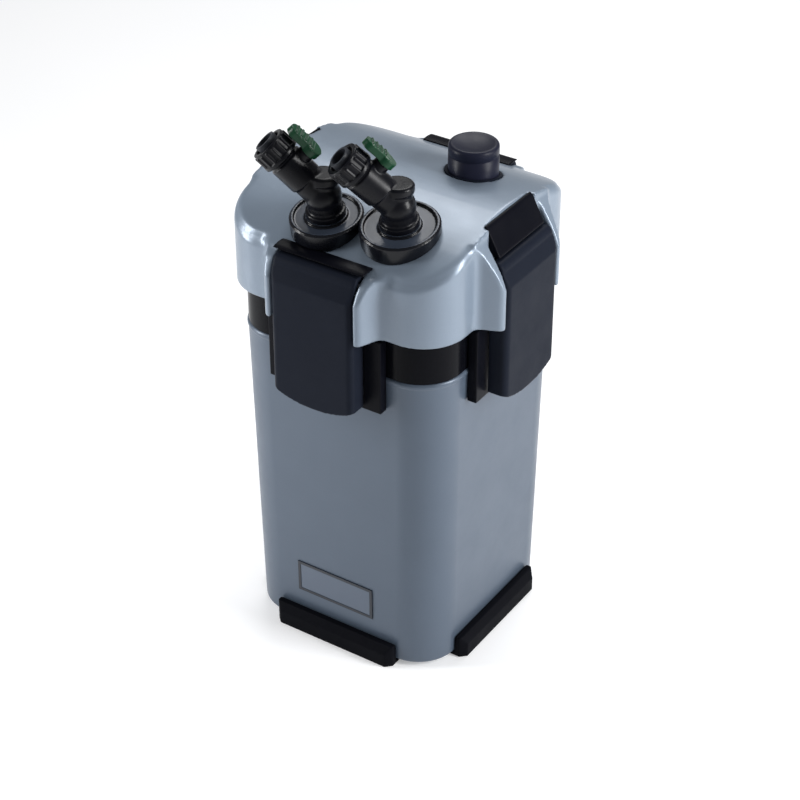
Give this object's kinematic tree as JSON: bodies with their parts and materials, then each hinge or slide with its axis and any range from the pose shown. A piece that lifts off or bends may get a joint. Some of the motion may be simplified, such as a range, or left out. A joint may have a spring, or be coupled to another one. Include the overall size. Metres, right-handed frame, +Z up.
{
  "type": "canister filter",
  "caption": "Square external aquarium canister filter with a domed lift-off head, hinged clips, priming button, two hose connectors with valves, and lift-out media baskets.",
  "frame": {"origin": "middle of the base, on the surface that the feet stand on", "axes": "+Z up, the front face with the badge looks along -Y, +X to the right seen from the front"},
  "size_m": [0.2444, 0.2444, 0.4731],
  "materials": {
    "canister_grey": "satin metallic paint over moulded plastic",
    "head_grey": "satin metallic paint over moulded plastic",
    "black_satin": "fine moulded texture",
    "black_gloss": "polished",
    "plate_dark": "satin",
    "rubber_black": "matt",
    "steel": "brushed",
    "ceramic_white": "porous",
    "shaft_ceramic": "ground",
    "ferrite": "matt",
    "motor_resin": "cast resin",
    "impeller_white": "moulded",
    "green_plastic": "moulded",
    "basket_black": "moulded",
    "foam_blue": "open-cell foam",
    "floss_white": "fibre floss",
    "ball_black": "moulded"
  },
  "bodies": {
    "canister": {"canister": "canister_grey", "foot_front": "rubber_black", "foot_right": "rubber_black", "foot_back": "rubber_black", "foot_left": "rubber_black", "name_plate": "plate_dark", "riser_pipe": "basket_black", "riser_strainer": "basket_black", "clip_keeper_front": "black_satin", "clip_keeper_right": "black_satin", "clip_keeper_back": "black_satin", "clip_keeper_left": "black_satin"},
    "head": {"seal_ring": "rubber_black", "head_base": "black_gloss", "head_cover": "head_grey", "clip_pin_front": "steel", "clip_pin_right": "steel", "clip_pin_back": "steel", "clip_pin_left": "steel", "clip_cap_front": "black_satin", "clip_cap_right": "black_satin", "clip_cap_back": "black_satin", "clip_cap_left": "black_satin", "motor_pot": "motor_resin", "rotor_shaft": "shaft_ceramic", "bush_upper": "rubber_black", "bush_lower": "rubber_black", "volute_cover": "basket_black", "inlet_duct": "basket_black", "outlet_duct": "basket_black", "prime_spring": "steel", "button_collar": "black_satin", "cord_gland": "rubber_black", "disc_inlet": "black_gloss", "disc_outlet": "black_gloss", "elbow_inlet": "black_satin", "elbow_outlet": "black_satin", "hose_tail_inlet": "basket_black", "hose_tail_outlet": "basket_black", "head_screws": "steel"},
    "clip_front": {"clip_front": "black_satin"},
    "clip_right": {"clip_right": "black_satin"},
    "clip_back": {"clip_back": "black_satin"},
    "clip_left": {"clip_left": "black_satin"},
    "button": {"prime_button": "black_gloss", "prime_piston": "basket_black"},
    "rotor": {"rotor_magnet": "ferrite", "impeller": "impeller_white"},
    "nut_inlet": {"hose_nut_inlet": "black_satin"},
    "nut_outlet": {"hose_nut_outlet": "black_satin"},
    "lever_inlet": {"valve_lever_inlet": "green_plastic"},
    "lever_outlet": {"valve_lever_outlet": "green_plastic"},
    "basket_bottom": {"basket_bottom": "basket_black", "foam_pad": "foam_blue"},
    "basket_middle": {"basket_middle": "basket_black", "ceramic_rings": "ceramic_white"},
    "basket_top": {"basket_top": "basket_black", "media_balls": "ball_black", "floss_pad": "floss_white"}
  },
  "joints": [
    {"name": "head_lift", "type": "slide", "parent": "canister", "child": "head", "axis": [0, 0, 1], "range_m": [0, 0.42]},
    {"name": "basket_bottom_lift", "type": "slide", "parent": "canister", "child": "basket_bottom", "axis": [0, 0, 1], "range_m": [0, 0.294]},
    {"name": "basket_middle_lift", "type": "slide", "parent": "canister", "child": "basket_middle", "axis": [0, 0, 1], "range_m": [0, 0.3276]},
    {"name": "basket_top_lift", "type": "slide", "parent": "canister", "child": "basket_top", "axis": [0, 0, 1], "range_m": [0, 0.3612]},
    {"name": "clip_front_hinge", "type": "hinge", "parent": "head", "child": "clip_front", "pos_m": [0, -0.11, 0.366], "axis": [-1, 0, 0], "range_deg": [0, 85]},
    {"name": "clip_right_hinge", "type": "hinge", "parent": "head", "child": "clip_right", "pos_m": [0.11, 0, 0.366], "axis": [0, -1, 0], "range_deg": [0, 85]},
    {"name": "clip_back_hinge", "type": "hinge", "parent": "head", "child": "clip_back", "pos_m": [0, 0.11, 0.366], "axis": [1, 0, 0], "range_deg": [0, 85]},
    {"name": "clip_left_hinge", "type": "hinge", "parent": "head", "child": "clip_left", "pos_m": [-0.11, 0, 0.366], "axis": [0, 1, 0], "range_deg": [0, 85]},
    {"name": "button_press", "type": "slide", "parent": "head", "child": "button", "axis": [0, 0, -1], "range_m": [0, 0.01], "stiffness_N_per_m": 250, "springref_m": -0.004, "deforming": ["prime_spring"]},
    {"name": "rotor_spin", "type": "hinge", "parent": "head", "child": "rotor", "pos_m": [0.02, 0.015, 0.28], "axis": [0, 0, 1], "continuous": true},
    {"name": "nut_inlet_turn", "type": "hinge", "parent": "head", "child": "nut_inlet", "pos_m": [-0.0475, -0.09457, 0.44721], "axis": [-0.63, -0.321, 0.7071], "range_deg": [0, 540]},
    {"name": "valve_inlet_turn", "type": "hinge", "parent": "head", "child": "lever_inlet", "pos_m": [-0.02545, -0.08333, 0.44792], "axis": [0.63, 0.321, 0.7071], "range_deg": [0, 90]},
    {"name": "nut_outlet_turn", "type": "hinge", "parent": "head", "child": "nut_outlet", "pos_m": [0.01592, -0.09024, 0.45109], "axis": [-0.5417, -0.4545, 0.7071], "range_deg": [0, 540]},
    {"name": "valve_outlet_turn", "type": "hinge", "parent": "head", "child": "lever_outlet", "pos_m": [0.03488, -0.07433, 0.4518], "axis": [0.5417, 0.4545, 0.7071], "range_deg": [0, 90]}
  ],
  "couplings": [
    {"joint": "basket_bottom_lift", "follows": "head_lift", "ratio": 0.7},
    {"joint": "basket_middle_lift", "follows": "head_lift", "ratio": 0.78},
    {"joint": "basket_top_lift", "follows": "head_lift", "ratio": 0.86}
  ]
}
